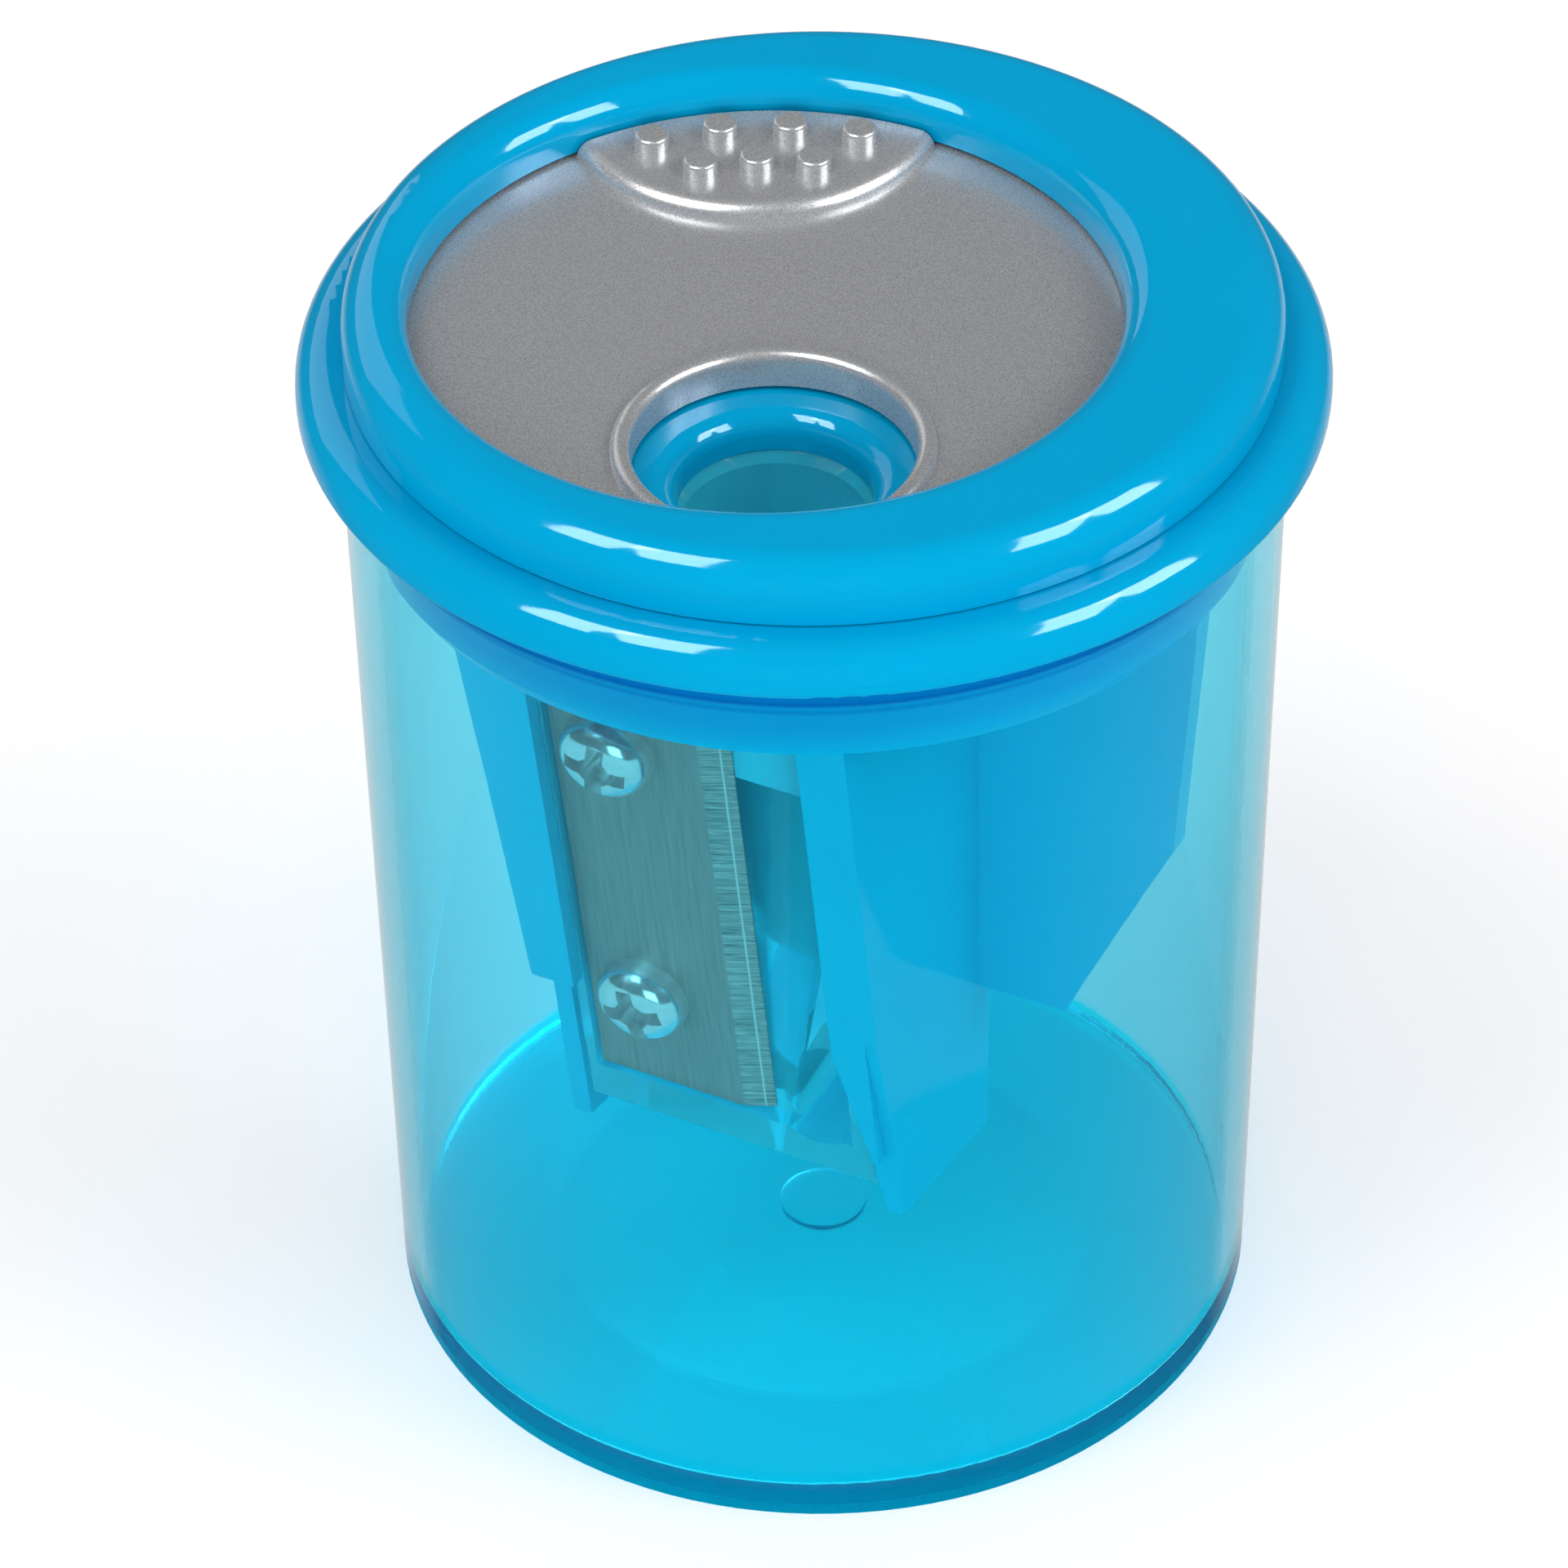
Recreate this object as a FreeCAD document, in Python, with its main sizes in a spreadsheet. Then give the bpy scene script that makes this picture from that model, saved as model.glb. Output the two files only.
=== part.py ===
import FreeCAD, Part
import math
import os
import Sketcher
from FreeCAD import Placement, Rotation, Vector

# Container pencil sharpener: a see-through cup, a plug-in lid that carries a
# wedge sharpener, and a turning disc that covers the pencil hole.
# Millimetres, +Z up, origin at the centre of the underside of the cup.

doc = FreeCAD.newDocument("container_sharpener")
sheet = doc.addObject("Spreadsheet::Sheet", "dims")

# ---------------------------------------------------------------- dimensions
TABLE = [
    # cup
    ("cup_base_rad", 19.97, "outer radius at the underside"),
    ("cup_top_rad", 20.72, "outer radius at the rim"),
    ("cup_tall", 49.5, "height of the rim"),
    ("cup_inner_low", 18.95, "inner radius at the floor"),
    ("cup_inner_top", 19.4, "inner radius at the rim"),
    ("cup_floor", 1.35, "floor thickness"),
    ("bead_rad", 21.2, "outer radius of the rim bead"),
    ("bead_low", 47.9, "lower edge of the rim bead"),
    ("bead_slope", 0.4, "height of the sloped underside of the bead"),
    ("dome_rad", 12.4, "radius of the domed middle of the floor"),
    ("dome_tall", 1.45, "rise of that dome"),
    ("hollow_tall", 1.45, "rise of the matching hollow under the base"),
    ("dome_blend", 2.0, "blend between the dome and the flat of the floor"),
    ("gate_rad", 2.0, "radius of the moulding gate mark"),
    ("gate_low", 1.15, "height of the underside of the moulding gate mark"),
    ("cup_corner", 0.35, "fillet between floor and wall"),
    ("cup_foot", 0.2, "fillet of the bottom edge"),
    ("cup_rim_round", 0.3, "fillet of the rim"),
    # lid body
    ("skirt_rad", 19.1, "outer radius of the plug skirt"),
    ("skirt_inner", 17.9, "inner radius of the plug skirt"),
    ("skirt_low", 44.4, "lower edge of the plug skirt"),
    ("flange_rad", 22.5, "outer radius of the flange"),
    ("flange_low", 49.65, "underside of the flange"),
    ("flange_top", 51.95, "top of the flange"),
    ("flange_round_top", 1.5, "fillet of the upper flange edge"),
    ("flange_round_low", 0.45, "fillet of the lower flange edge"),
    ("deck_low", 49.5, "underside of the deck"),
    ("deck_top", 51.2, "top of the deck"),
    ("seat_rad", 19.5, "radius of the seat for the ring"),
    ("mouth_rad", 4.2, "radius of the pencil hole in the deck"),
    ("mouth_round", 0.95, "rounding of that hole"),
    ("skirt_lead", 0.6, "height of the lead-in of the skirt"),
    # pencil axis and the turned holder
    ("axis_x", -1.75, "pencil axis, x"),
    ("axis_back", 9.05, "pencil axis, distance in front of the cup axis"),
    ("holder_turn", 27.4, "turn of the holder, clockwise from above"),
    ("cone_rad", 0.45, "bore radius at the cone datum"),
    ("cone_datum", 15.5, "height of the cone datum"),
    ("cone_slope", 0.1553, "radius gained per millimetre of height"),
    ("bore_rad", 4.0, "pencil bore radius"),
    ("bore_lead", 0.5, "height of the lead-in of the bore"),
    # holder walls
    ("wall_front", 1.7, "front of the walls ahead of the blade seat"),
    ("wall_front_low", 1.0, "the same below the rails"),
    ("wall_right_in", 5.25, "inner face of the right wall"),
    ("wall_right_thick", 1.15, "thickness of the right wall"),
    ("wall_left_in", 9.35, "inner face of the left wall"),
    ("wall_left_thick", 3.4, "thickness of the left wall before its taper"),
    ("wall_left_lug", 10.25, "outer face of the foot of the left wall"),
    ("wall_left_low", 10.85, "outer face of the left wall above its foot"),
    ("wall_left_high", 11.9, "outer face of the left wall under the skirt"),
    ("wall_foot_front", 12.6, "foot of the walls, front"),
    ("wall_foot_back", 11.3, "foot of the walls, back"),
    ("wall_kink", 24.7, "height where the front edge of the right wall steps back"),
    ("wall_kink_low", 17.2, "lower end of that step"),
    ("back_front", 6.7, "front face of the back plate"),
    ("back_thick", 1.2, "thickness of the back plate"),
    ("back_left", 10.6, "left end of the back plate"),
    ("back_foot", 20.5, "lower edge of the back plate"),
    ("back_corner_in", 10.65, "start of the cut corner of the back plate"),
    ("back_corner_out", 15.4, "end of the cut corner"),
    ("back_corner_high", 31.45, "height of the end of the cut corner"),
    ("back_right", 16.45, "right end of the back plate before trimming"),
    ("holder_trim", 18.8, "radius that the holder is trimmed to"),
    ("holder_top", 49.9, "height that the walls reach into the deck"),
    ("rail_back", 0.95, "back of the rails ahead of the blade seat"),
    ("rail_right", 4.1, "edge of the right rail"),
    ("rail_left", 8.75, "edge of the left rail"),
    ("rail_left_foot", 22.2, "lower end of the left rail"),
    ("rail_right_foot", 16.5, "lower end of the right rail"),
    ("rail_right_lead", 23.0, "top of the lead-in of the right rail"),
    ("lead_wide", 0.8, "lead-in at the foot of the right wall, width"),
    ("lead_tall", 4.4, "lead-in at the foot of the right wall, height"),
    # ring
    ("ring_rad", 20.4, "outer radius of the ring"),
    ("ring_seam", 51.97, "underside of the ring where it shows"),
    ("ring_top", 54.86, "top of the ring"),
    ("ring_spigot", 19.4, "outer radius of the part in the seat"),
    ("ring_pocket", 16.5, "radius of the pocket that the disc turns in"),
    ("ring_lip_low", 52.78, "underside of the lip over the disc"),
    ("ring_open", 15.5, "radius of the opening"),
    ("ring_round_out", 1.55, "fillet of the outer edge"),
    ("ring_round_in", 1.28, "fillet of the opening"),
    ("ring_round_seam", 0.12, "fillet of the lower outer edge"),
    ("disc_axis_back", 2.03, "distance of the disc axis left of the cup axis"),
    # turning disc
    ("disc_rad", 16.3, "disc radius"),
    ("disc_low", 51.4, "underside of the disc"),
    ("disc_top", 52.58, "top of the disc"),
    ("disc_hole", 6.1, "radius of the hole"),
    ("disc_hole_far", 8.95, "distance of the hole from the disc axis"),
    ("disc_lip", 6.95, "outer radius of the lip round the hole"),
    ("disc_lip_tall", 0.5, "height of that lip"),
    ("disc_lip_round", 0.4, "rounding of that lip"),
    ("thumb_rad", 8.61, "radius of the thumb pad"),
    ("thumb_far", 16.21, "distance of its centre from the disc axis"),
    ("thumb_trim", 15.25, "radius that the thumb pad is trimmed to"),
    ("thumb_tall", 0.78, "height of the thumb pad"),
    ("thumb_round", 0.74, "rounding of its front edge"),
    ("stud_rad", 0.78, "radius of a grip stud"),
    ("stud_tall", 0.68, "height of a grip stud"),
    ("stud_round", 0.17, "rounding of a grip stud"),
    ("stud_step", 13.27, "angle between the grip studs of a row"),
    ("stud_row_far", 13.57, "radius of the outer row about the disc axis"),
    ("stud_row_near", 10.96, "radius of the inner row about the disc axis"),
    ("disc_turn", 1.6, "turn of the disc as it stands at rest"),
    # insert
    ("body_left", 9.3, "left face of the insert"),
    ("body_right", 5.2, "right face of the insert"),
    ("body_low", 14.05, "underside of the insert"),
    ("body_high", 42.8, "top of the wedge"),
    ("body_back", 6.65, "back face of the insert"),
    ("body_frame", 0.9, "front frame ahead of the blade seat"),
    ("frame_round", 0.3, "rounding of the edges of that frame"),
    ("collar_rad", 5.1, "radius of the collar round the bore"),
    ("collar_high", 49.4, "top of the collar"),
    ("seat_left", 8.65, "left side of the blade seat"),
    ("seat_right", 4.2, "right side of the blade seat"),
    ("seat_low", 16.3, "lower end of the blade seat"),
    ("slot_left", 0.3, "chip slot, left of the bore axis"),
    ("slot_right", 3.7, "chip slot, right of the bore axis"),
    ("slot_low", 17.7, "lower end of the chip slot"),
    ("slot_high", 38.2, "upper end of the chip slot"),
    ("slot_deep", 0.3, "depth of the chip slot behind the bore axis"),
    ("slot_end_rad", 1.9, "radius of the round end of the chip slot"),
    ("slot_end_u", 2.3, "place of the round end of the chip slot"),
    ("slot_end_high", 17.85, "height of the round end of the chip slot"),
    ("grip_deep", 0.5, "depth of the side grip panels"),
    ("grip_low", 18.6, "lower edge of the grip panels"),
    ("grip_high", 38.6, "upper edge of the grip panels"),
    ("grip_front", 0.9, "front edge of the grip panels behind the seat"),
    ("grip_back", 5.2, "back edge of the grip panels"),
    # blade
    ("blade_wide", 8.5, "blade width"),
    ("blade_long", 24.6, "blade length"),
    ("blade_thick", 0.6, "blade thickness"),
    ("blade_bevel", 1.35, "width of the ground bevel"),
    ("blade_edge", 0.08, "thickness left at the edge"),
    ("blade_low", 16.52, "height of the lower end of the blade"),
    ("blade_hole", 1.3, "radius of the screw holes"),
    ("screw_in", 5.62, "screws, distance from the cutting edge"),
    ("screw_low", 5.97, "lower screw, distance from the end of the blade"),
    ("screw_pitch", 16.11, "distance between the screws"),
    # screws
    ("head_rad", 2.1, "screw head radius"),
    ("head_tall", 1.6, "screw head height"),
    ("head_round", 1.15, "rounding of the head"),
    ("shank_rad", 1.1, "shank radius"),
    ("shank_long", 5.2, "shank length under the head"),
    ("shank_point", 0.9, "length of the point"),
    ("cross_long", 2.85, "length of the cross recess"),
    ("cross_wide", 0.8, "width of the cross recess"),
    ("cross_deep", 1.0, "depth of the cross recess"),
    ("cross_core", 0.8, "radius of the middle of the recess"),
]


class Val:
    """A number together with the spreadsheet expression that gives it."""

    def __init__(self, number, text):
        self.v = float(number)
        self.e = text

    def __add__(self, other):
        other = val(other)
        return Val(self.v + other.v, "(%s + %s)" % (self.e, other.e))

    def __radd__(self, other):
        return val(other) + self

    def __sub__(self, other):
        other = val(other)
        return Val(self.v - other.v, "(%s - %s)" % (self.e, other.e))

    def __rsub__(self, other):
        return val(other) - self

    def __mul__(self, other):
        other = val(other)
        return Val(self.v * other.v, "(%s * %s)" % (self.e, other.e))

    def __rmul__(self, other):
        return val(other) * self

    def __neg__(self):
        return Val(-self.v, "(0 - %s)" % self.e)


def val(x):
    if isinstance(x, Val):
        return x
    return Val(x, repr(float(x)))


D = {}
for row, (alias, number, note) in enumerate(TABLE, 1):
    sheet.set("A%d" % row, alias)
    sheet.set("B%d" % row, repr(number))
    sheet.set("C%d" % row, note)
    sheet.setAlias("B%d" % row, alias)
    D[alias] = Val(number, "dims." + alias)
doc.recompute()

TURN = D["holder_turn"]
SIN = Val(math.sin(math.radians(TURN.v)), "sin(%s * 1 deg)" % TURN.e)
COS = Val(math.cos(math.radians(TURN.v)), "cos(%s * 1 deg)" % TURN.e)
AX = D["axis_x"]
AY = -D["axis_back"]
# Holder directions in plan: U along the blade's width, B away from the blade.
UX, UY = COS, -SIN
BX, BY = SIN, COS
TILT = math.atan(D["cone_slope"].v)


def seat(height, ahead=0.0):
    """B coordinate of the blade seat plane at a height, moved ahead of it."""
    height = val(height)
    return -(D["cone_rad"] + (height - D["cone_datum"]) * D["cone_slope"]) - ahead


def plan(u, b):
    """Global x and y of a holder point, as numbers."""
    return (AX.v + u * UX.v + b * BX.v, AY.v + u * UY.v + b * BY.v)


# ------------------------------------------------------------------- helpers
def new_body(name):
    body = doc.addObject("PartDesign::Body", name)
    body.Label = name
    return body


def origin_plane(body, role):
    for feature in body.Origin.OriginFeatures:
        if feature.Role == role:
            return feature
    raise RuntimeError(role)


def new_sketch(body, name, role, base=None, turn=None):
    sketch = body.newObject("Sketcher::SketchObject", name)
    sketch.AttachmentSupport = [(origin_plane(body, role), "")]
    sketch.MapMode = "FlatFace"
    if base is not None:
        base = [val(b) for b in base]
        angle = turn.v if turn is not None else 0.0
        sketch.AttachmentOffset = Placement(
            Vector(*[b.v for b in base]), Rotation(Vector(0, -1, 0), angle))
        for key, b in zip("xyz", base):
            sketch.setExpression("AttachmentOffset.Base." + key, b.e)
        if turn is not None:
            sketch.setExpression("AttachmentOffset.Rotation.Angle", turn.e)
    return sketch


def flat_sketch(body, name, height):
    return new_sketch(body, name, "XY_Plane", (0, 0, height))


def side_sketch(body, name, u):
    """Sketch with x along B and y up, its normal along U, at one U."""
    u = val(u)
    return new_sketch(body, name, "YZ_Plane", (AY + u * UY, 0, AX + u * UX), TURN)


def front_sketch(body, name, b):
    """Sketch with x along U and y up, its normal towards the front, at one B."""
    b = val(b)
    return new_sketch(body, name, "XZ_Plane", (AX + b * BX, 0, -(AY + b * BY)), TURN)


def pin(sketch, geo, pos, x, y):
    for kind, value, axis in (("DistanceX", val(x), -2), ("DistanceY", val(y), -1)):
        if abs(value.v) < 1e-9:
            sketch.addConstraint(Sketcher.Constraint("PointOnObject", geo, pos, axis))
        elif value.v > 0:
            i = sketch.addConstraint(Sketcher.Constraint(kind, -1, 1, geo, pos, value.v))
            sketch.setExpression("Constraints[%d]" % i, value.e)
        else:
            i = sketch.addConstraint(Sketcher.Constraint(kind, geo, pos, -1, 1, -value.v))
            sketch.setExpression("Constraints[%d]" % i, (-value).e)


def polygon(sketch, points):
    points = [(val(x), val(y)) for x, y in points]
    count = len(points)
    first = sketch.GeometryCount
    for i in range(count):
        p, q = points[i], points[(i + 1) % count]
        sketch.addGeometry(Part.LineSegment(Vector(p[0].v, p[1].v, 0),
                                            Vector(q[0].v, q[1].v, 0)), False)
    for i in range(count):
        sketch.addConstraint(Sketcher.Constraint(
            "Coincident", first + i, 2, first + (i + 1) % count, 1))
    for i, (x, y) in enumerate(points):
        pin(sketch, first + i, 1, x, y)


def circle(sketch, x, y, radius):
    x, y, radius = val(x), val(y), val(radius)
    geo = sketch.addGeometry(
        Part.Circle(Vector(x.v, y.v, 0), Vector(0, 0, 1), radius.v), False)
    i = sketch.addConstraint(Sketcher.Constraint("Radius", geo, radius.v))
    sketch.setExpression("Constraints[%d]" % i, radius.e)
    if abs(x.v) < 1e-9 and abs(y.v) < 1e-9:
        sketch.addConstraint(Sketcher.Constraint("Coincident", geo, 3, -1, 1))
    else:
        pin(sketch, geo, 3, x, y)


def feature(body, kind, name, sketch, **numbers):
    """Add a sketch-based feature; keep cuts that cut and pads that add."""
    before = body.Shape.Volume if body.Tip is not None and not body.Shape.isNull() else 0.0
    item = body.newObject("PartDesign::" + kind, name)
    item.Profile = sketch
    for key, number in numbers.items():
        if isinstance(number, Val):
            setattr(item, key, number.v)
            item.setExpression(key, number.e)
        else:
            setattr(item, key, number)
    doc.recompute()
    after = item.Shape.Volume
    grows = kind in ("Pad", "Revolution")
    if (grows and after <= before + 1e-6) or (not grows and after >= before - 1e-6):
        raise RuntimeError("%s %s changes nothing: %.3f to %.3f" % (body.Label, name, before, after))
    return item


def revolve(body, name, points, kind="Revolution"):
    sketch = new_sketch(body, name + "_profile", "XZ_Plane")
    polygon(sketch, points)
    doc.recompute()
    return feature(body, kind, name, sketch,
                   ReferenceAxis=(sketch, ["V_Axis"]), Angle=360.0)


def dome(body, name, kind, radius, base, rise):
    """Add or cut a shallow spherical cap over a circle at one height."""
    sketch = new_sketch(body, name + "_profile", "XZ_Plane")
    ball = (radius.v ** 2 + rise.v ** 2) / (2 * rise.v)
    middle = Vector(0, base.v + rise.v - ball, 0)
    start = math.atan2(base.v - middle.y, radius.v)
    sketch.addGeometry(Part.LineSegment(Vector(0, base.v, 0), Vector(radius.v, base.v, 0)), False)
    sketch.addGeometry(Part.ArcOfCircle(
        Part.Circle(middle, Vector(0, 0, 1), ball), start, math.pi / 2), False)
    sketch.addGeometry(Part.LineSegment(Vector(0, base.v + rise.v, 0), Vector(0, base.v, 0)), False)
    for geo, pos, other, end in ((0, 2, 1, 1), (1, 2, 2, 1), (2, 2, 0, 1)):
        sketch.addConstraint(Sketcher.Constraint("Coincident", geo, pos, other, end))
    sketch.addConstraint(Sketcher.Constraint("PointOnObject", 1, 3, -2))
    pin(sketch, 0, 1, 0, base)
    pin(sketch, 0, 2, radius, base)
    pin(sketch, 2, 1, 0, base + rise)
    doc.recompute()
    return feature(body, kind, name, sketch,
                   ReferenceAxis=(sketch, ["V_Axis"]), Angle=360.0)


def ring_edge(radius, height, x=0.0, y=0.0):
    def test(edge):
        if edge.Degenerated:
            return False
        curve = edge.Curve
        return (hasattr(curve, "Radius") and abs(curve.Radius - radius) < 1e-3
                and abs(curve.Center.z - height) < 1e-3
                and abs(curve.Center.x - x) < 1e-3 and abs(curve.Center.y - y) < 1e-3)
    return test


def fillet(body, name, radius, *tests):
    base = body.Tip
    names = ["Edge%d" % i for i, edge in enumerate(base.Shape.Edges, 1)
             if any(test(edge) for test in tests)]
    if len(names) < len(tests):
        raise RuntimeError("%s %s finds only %s" % (body.Label, name, names))
    item = body.newObject("PartDesign::Fillet", name)
    item.Base = (base, names)
    item.Radius = radius.v
    item.setExpression("Radius", radius.e)
    doc.recompute()
    return item


# ----------------------------------------------------------------------- cup
container = new_body("container")
draft = D["cup_top_rad"] - D["cup_base_rad"]
bead_foot = D["cup_base_rad"] + draft * 0.968
revolve(container, "cup", [
    (0, 0),
    (D["cup_base_rad"], 0),
    (bead_foot, D["bead_low"]),
    (D["bead_rad"], D["bead_low"] + D["bead_slope"]),
    (D["bead_rad"], D["cup_tall"]),
    (D["cup_inner_top"], D["cup_tall"]),
    (D["cup_inner_low"], D["cup_floor"]),
    (0, D["cup_floor"]),
])
fillet(container, "floor_corner", D["cup_corner"],
       ring_edge(D["cup_inner_low"].v, D["cup_floor"].v))
fillet(container, "foot_edge", D["cup_foot"],
       ring_edge(D["cup_base_rad"].v, 0.0))
fillet(container, "rim_edges", D["cup_rim_round"],
       ring_edge(D["bead_rad"].v, D["cup_tall"].v),
       ring_edge(D["cup_inner_top"].v, D["cup_tall"].v),
       ring_edge(D["bead_rad"].v, D["bead_low"].v + D["bead_slope"].v))

# Domed middle of the floor, hollow underneath, with the gate mark in it.
dome(container, "floor_dome", "Revolution", D["dome_rad"], D["cup_floor"], D["dome_tall"])
dome(container, "floor_hollow", "Groove", D["dome_rad"], val(0.0), D["hollow_tall"])
fillet(container, "dome_edges", D["dome_blend"],
       ring_edge(D["dome_rad"].v, D["cup_floor"].v),
       ring_edge(D["dome_rad"].v, 0.0))
s = flat_sketch(container, "gate_outline", D["gate_low"])
circle(s, 0, 0, D["gate_rad"])
feature(container, "Pad", "gate_mark", s, Length=D["hollow_tall"] - D["gate_low"] + 0.2)

# ------------------------------------------------------------------ lid body
lid = new_body("lid_base")
revolve(lid, "cap", [
    (0, D["deck_low"]),
    (D["skirt_inner"], D["deck_low"]),
    (D["skirt_inner"], D["skirt_low"]),
    (D["skirt_rad"] - D["skirt_lead"] * 0.5, D["skirt_low"]),
    (D["skirt_rad"], D["skirt_low"] + D["skirt_lead"]),
    (D["skirt_rad"], D["flange_low"]),
    (D["flange_rad"], D["flange_low"]),
    (D["flange_rad"], D["flange_top"]),
    (D["seat_rad"], D["flange_top"]),
    (D["seat_rad"], D["deck_top"]),
    (0, D["deck_top"]),
])

top = D["holder_top"]
back_end = D["back_front"] + D["back_thick"]

# Right wall: front edge follows the blade seat and steps back near the foot.
s = side_sketch(lid, "right_wall_outline", D["wall_right_in"])
polygon(s, [
    (seat(top, D["wall_front"]), top),
    (seat(D["wall_kink"], D["wall_front"]), D["wall_kink"]),
    (seat(D["wall_kink_low"], D["wall_front_low"]), D["wall_kink_low"]),
    (seat(D["wall_foot_front"], D["wall_front_low"]), D["wall_foot_front"]),
    (back_end, D["wall_foot_back"]),
    (back_end, top),
])
feature(lid, "Pad", "right_wall", s, Length=D["wall_right_thick"])

# Left wall: thick at the top, tapering to its foot.
s = side_sketch(lid, "left_wall_outline", -(D["wall_left_in"] + D["wall_left_thick"]))
polygon(s, [
    (seat(top, D["wall_front"]), top),
    (seat(D["rail_left_foot"], D["wall_front"]), D["rail_left_foot"]),
    (seat(D["rail_left_foot"], D["wall_front_low"]), D["rail_left_foot"]),
    (seat(D["wall_foot_front"], D["wall_front_low"]), D["wall_foot_front"]),
    (back_end, D["wall_foot_back"]),
    (back_end, top),
])
feature(lid, "Pad", "left_wall", s, Length=D["wall_left_thick"])
s = front_sketch(lid, "left_taper_outline", 0)
polygon(s, [
    (-D["wall_left_lug"], D["wall_foot_back"] - 1.0),
    (-D["wall_left_lug"], D["rail_left_foot"]),
    (-D["wall_left_low"], D["rail_left_foot"]),
    (-D["wall_left_high"], D["skirt_low"] - 0.2),
    (-(D["wall_left_in"] + D["wall_left_thick"] + 1.0), D["skirt_low"] - 0.2),
    (-(D["wall_left_in"] + D["wall_left_thick"] + 1.0), D["wall_foot_back"] - 1.0),
])
feature(lid, "Pocket", "left_taper", s, Length=val(60.0), Midplane=True)

# Back plate behind the insert, reaching right to the skirt.
s = front_sketch(lid, "back_plate_outline", back_end)
polygon(s, [
    (-D["back_left"], D["back_foot"]),
    (D["back_corner_in"], D["back_foot"]),
    (D["back_corner_out"], D["back_corner_high"]),
    (D["back_right"], top),
    (-D["back_left"], top),
])
feature(lid, "Pad", "back_plate", s, Length=D["back_thick"])

# Rails that hold the front frame of the insert.
s = side_sketch(lid, "right_rail_outline", D["rail_right"])
polygon(s, [
    (seat(top, D["wall_front"]), top),
    (seat(D["rail_right_foot"], D["wall_front"]), D["rail_right_foot"]),
    (seat(D["rail_right_foot"], D["rail_back"]), D["rail_right_foot"]),
    (seat(top, D["rail_back"]), top),
])
feature(lid, "Pad", "right_rail", s,
        Length=D["wall_right_in"] - D["rail_right"] + D["wall_right_thick"] * 0.5)
s = front_sketch(lid, "right_rail_lead_outline", 0)
polygon(s, [
    (D["rail_right"] - 0.5, D["rail_right_lead"] + 2.6),
    (D["wall_right_in"] + 0.35, D["rail_right_foot"] - 0.2),
    (D["rail_right"] - 0.5, D["rail_right_foot"] - 0.2),
])
feature(lid, "Pocket", "right_rail_lead", s, Length=val(60.0), Midplane=True)
s = side_sketch(lid, "left_rail_outline", -(D["wall_left_in"] + 0.5))
polygon(s, [
    (seat(top, D["wall_front"]), top),
    (seat(D["rail_left_foot"], D["wall_front"]), D["rail_left_foot"]),
    (seat(D["rail_left_foot"], D["rail_back"]), D["rail_left_foot"]),
    (seat(top, D["rail_back"]), top),
])
feature(lid, "Pad", "left_rail", s, Length=D["wall_left_in"] + 0.5 - D["rail_left"])

# Lead-in at the foot of the right wall.
s = front_sketch(lid, "foot_lead_outline", 0)
polygon(s, [
    (D["wall_right_in"] - 0.3, D["wall_foot_back"] - 0.5),
    (D["wall_right_in"] + D["lead_wide"], D["wall_foot_back"] - 0.5),
    (D["wall_right_in"] - 0.3, D["wall_foot_back"] + D["lead_tall"] + 0.8),
])
feature(lid, "Pocket", "foot_lead", s, Length=val(60.0), Midplane=True)

# Everything that hangs in the cup is trimmed to clear its wall.
revolve(lid, "trim", [
    (D["holder_trim"], 5.0),
    (D["holder_trim"], D["skirt_low"]),
    (D["skirt_rad"], D["skirt_low"]),
    (D["skirt_rad"], D["flange_low"]),
    (D["flange_rad"] + 1.0, D["flange_low"]),
    (D["flange_rad"] + 1.0, 5.0),
], kind="Groove")

# Pencil hole.
s = flat_sketch(lid, "mouth_outline", D["deck_top"])
circle(s, AX, AY, D["mouth_rad"])
feature(lid, "Pocket", "mouth", s, Length=D["deck_top"] - D["deck_low"] + 0.05)
fillet(lid, "mouth_edge", D["mouth_round"],
       ring_edge(D["mouth_rad"].v, D["deck_top"].v, AX.v, AY.v))
fillet(lid, "flange_top_edge", D["flange_round_top"],
       ring_edge(D["flange_rad"].v, D["flange_top"].v))
fillet(lid, "flange_low_edge", D["flange_round_low"],
       ring_edge(D["flange_rad"].v, D["flange_low"].v))

# ---------------------------------------------------------------------- ring
ring = new_body("lid_ring")
revolve(ring, "band", [
    (0, D["deck_top"]),
    (D["ring_spigot"], D["deck_top"]),
    (D["ring_spigot"], D["ring_seam"]),
    (D["ring_rad"], D["ring_seam"]),
    (D["ring_rad"], D["ring_top"]),
    (0, D["ring_top"]),
])
s = flat_sketch(ring, "pocket_outline", D["deck_top"])
circle(s, -D["disc_axis_back"], 0, D["ring_pocket"])
feature(ring, "Pocket", "disc_pocket", s,
        Length=D["ring_lip_low"] - D["deck_top"], Reversed=True)
s = flat_sketch(ring, "opening_outline", D["ring_top"])
circle(s, -D["disc_axis_back"], 0, D["ring_open"])
feature(ring, "Pocket", "opening", s, Length=D["ring_top"] - D["deck_top"])
fillet(ring, "outer_edge", D["ring_round_out"],
       ring_edge(D["ring_rad"].v, D["ring_top"].v))
fillet(ring, "opening_edge", D["ring_round_in"],
       ring_edge(D["ring_open"].v, D["ring_top"].v, -D["disc_axis_back"].v))
fillet(ring, "seam_edge", D["ring_round_seam"],
       ring_edge(D["ring_rad"].v, D["ring_seam"].v))

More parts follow.
